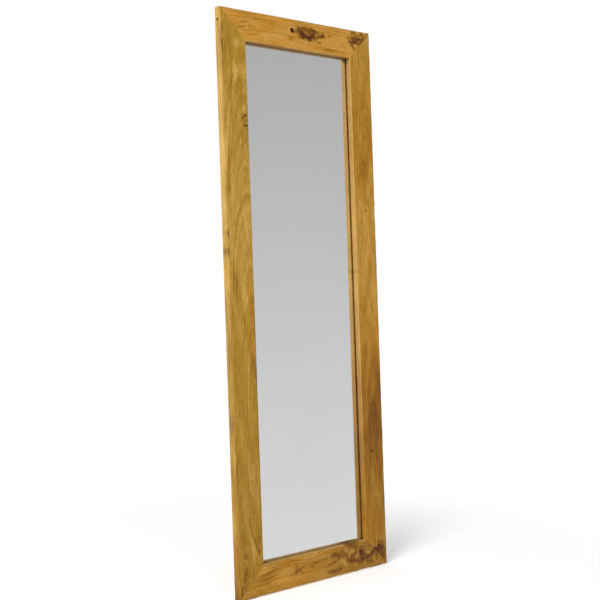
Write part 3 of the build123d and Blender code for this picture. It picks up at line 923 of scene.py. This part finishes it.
def ease_edges(name, body, finish, width_mm):
    """A copy of a square-edged CAD piece with its edges rubbed round, which takes the piece's place."""
    work = bmesh.new()
    work.from_mesh(nodes[name].data)
    bmesh.ops.remove_doubles(work, verts=work.verts, dist=0.01 * MM)
    bmesh.ops.dissolve_limit(work, angle_limit=radians(1), verts=work.verts, edges=work.edges)
    sharp = [edge for edge in work.edges if edge.calc_face_angle(0) > radians(30)]
    bmesh.ops.bevel(
        work,
        geom=sharp,
        offset=width_mm * MM,
        segments=3,
        profile=0.5,
        affect="EDGES",
        clamp_overlap=True,
    )
    mesh = bpy.data.meshes.new(name + "_eased")
    work.to_mesh(mesh)
    work.free()
    piece = show_mesh(name + "_eased", mesh, sharp_degrees)
    piece.data.materials.append(finish)
    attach(piece, body)
    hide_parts(name)


def finish_cad_nodes():
    """Finishes of the pieces that keep their CAD shape, and the rungs and pads with eased edges."""
    leg = nodes["stand_left_leg"].data
    edges = [[leg.vertices[index].co for index in edge.vertices] for edge in leg.edges]
    start, end = max(edges, key=lambda ends: (ends[0] - ends[1]).length)
    leg_up = (start - end).normalized()
    upright = waxed_straight_hardwood("waxed_hardwood_upright", leg_up)
    level = waxed_straight_hardwood("waxed_hardwood_level", Vector((1, 0, 0)))
    # Zinc plated steel with soft clouds: blue-white on the plates, straw yellow on the screws
    plate = metal("bright_zinc_plate", ("#a3a8ae", "#c2c6ca", "#d4d6d6"), (1.2, 40, 1.2), 0.34, 0.2)
    screw = metal("yellow_zinc_plate", ("#b59a5c", "#cdb877", "#c4b0a0"), (0.6, 0.6, 0.6), 0.28, 0.2)
    # Brass rubbed along the hinge: warm yellow with fine lines, browner where it has dulled
    brass = metal("satin_brass", ("#9c7a3c", "#c5a052", "#dcbd74"), (40, 0.9, 0.9), 0.32, 0.25)
    # Turned brass: the same yellow, finely speckled
    brass_screw = metal("turned_brass", ("#a5823f", "#cba75a", "#dfc27c"), (0.6, 0.6, 0.6), 0.25, 0.2)
    # Steel wire, drawn bright: fine lines along the pin
    pin = metal("drawn_steel_wire", ("#8c8d8f", "#aeb0b2", "#c4c5c6"), (30, 0.5, 0.5), 0.22, 0.15)
    rubber = moulded_rubber()
    finishes = {
        "mitre_splines": raw_beech(),
        "foam_strips": closed_cell_foam(),
        "back_panel": smooth_hardboard(),
        "back_panel_screws": screw,
        "corner_plate_screws": screw,
        "hinge_board_screws": screw,
        "fixed_leaf_screws": brass_screw,
        "moving_leaf_screws": brass_screw,
        "hinge_board": level,
        "stand_left_leg": upright,
        "stand_right_leg": upright,
    }
    for end in ("top_left", "top_right", "bottom_left", "bottom_right"):
        finishes["corner_plate_" + end] = plate
    for side in ("left", "right"):
        finishes[side + "_hinge_fixed_leaf"] = brass
        finishes[side + "_hinge_moving_leaf"] = brass
        finishes[side + "_hinge_pin"] = pin
        ease_edges("frame_" + side + "_pad", "frame", rubber, pad_ease_mm)
        ease_edges("stand_" + side + "_pad", "stand", rubber, pad_ease_mm)
    for name in ("stand_upper_rung", "stand_lower_rung"):
        ease_edges(name, "stand", level, rung_ease_mm)
    for name, finish in finishes.items():
        nodes[name].data.materials.clear()
        nodes[name].data.materials.append(finish)


# ---------------------------------------------------------------- stage


def make_world():
    """White backdrop for the eye; a pale room, darker upward, for everything that reflects it."""
    world = bpy.data.worlds.new("studio")
    bpy.context.scene.world = world
    world.use_nodes = True
    tree = world.node_tree
    tree.nodes.clear()
    direction = add_node(tree, "ShaderNodeTexCoord").outputs["Generated"]
    height = add_node(tree, "ShaderNodeSeparateXYZ", {0: direction}).outputs["Z"]
    level = add_node(
        tree,
        "ShaderNodeMapRange",
        {
            "Value": height,
            "From Min": sin(radians(-14)),
            "From Max": sin(radians(17)),
            "To Min": 0.80,
            "To Max": 0.45,
        },
    ).outputs["Result"]
    eye = add_node(tree, "ShaderNodeLightPath").outputs["Is Camera Ray"]
    both = add_node(
        tree, "ShaderNodeMix", {"Factor": eye, "A": level, "B": 1.0}, data_type="FLOAT"
    ).outputs["Result"]
    light = add_node(tree, "ShaderNodeBackground", {"Color": linear("#ffffff"), "Strength": both})
    add_node(tree, "ShaderNodeOutputWorld", {"Surface": light.outputs[0]})


def add_light(name, place, target, size, watts):
    """A square soft light that looks at its target."""
    data = bpy.data.lights.new(name, "AREA")
    data.shape = "SQUARE"
    data.size = size
    data.energy = watts
    lamp = bpy.data.objects.new(name, data)
    bpy.context.scene.collection.objects.link(lamp)
    lamp.location = place
    lamp.rotation_mode = "QUATERNION"
    lamp.rotation_quaternion = (Vector(target) - Vector(place)).to_track_quat("-Z", "Y")


def make_floor():
    """Plain pale floor, a disc that fades out into the backdrop; the glass shows the room without it."""
    turns = [2 * pi * n / floor_steps for n in range(floor_steps)]
    points = [(0, 0, 0)] + [(floor_radius * cos(turn), floor_radius * sin(turn), 0) for turn in turns]
    faces = [[0, n + 1, (n + 1) % floor_steps + 1] for n in range(floor_steps)]
    floor = new_piece("floor", points, faces)
    material = bpy.data.materials.new("pale_floor")
    material.use_nodes = True
    tree = material.node_tree
    tree.nodes.clear()
    place = add_node(tree, "ShaderNodeTexCoord").outputs["Object"]
    away = add_node(tree, "ShaderNodeVectorMath", {0: place}, operation="LENGTH").outputs["Value"]
    fade = add_node(
        tree,
        "ShaderNodeMapRange",
        {"Value": away, "From Min": floor_fade[0], "From Max": floor_fade[1], "To Min": 1.0, "To Max": 0.0},
        interpolation_type="SMOOTHSTEP",
    ).outputs["Result"]
    eye = add_node(tree, "ShaderNodeLightPath").outputs["Is Camera Ray"]
    seen = add_node(tree, "ShaderNodeMath", {0: fade, 1: eye}, operation="MULTIPLY").outputs[0]
    matt = add_node(tree, "ShaderNodeBsdfDiffuse", {"Color": linear("#f5f5f5")})
    glow = add_node(tree, "ShaderNodeEmission", {"Strength": floor_glow})
    pale = add_node(tree, "ShaderNodeAddShader", {0: matt.outputs[0], 1: glow.outputs[0]})
    none = add_node(tree, "ShaderNodeBsdfTransparent")
    mixed = add_node(tree, "ShaderNodeMixShader", {0: seen, 1: none.outputs[0], 2: pale.outputs[0]})
    add_node(tree, "ShaderNodeOutputMaterial", {"Surface": mixed.outputs[0]})
    floor.data.materials.append(material)


make_frame_boards(waxed_knotty_hardwood())
make_mirror()
finish_cad_nodes()
make_world()
make_floor()
add_light("key", key_place, key_target, key_size, key_watts)
bpy.context.scene.view_settings.view_transform = "Standard"
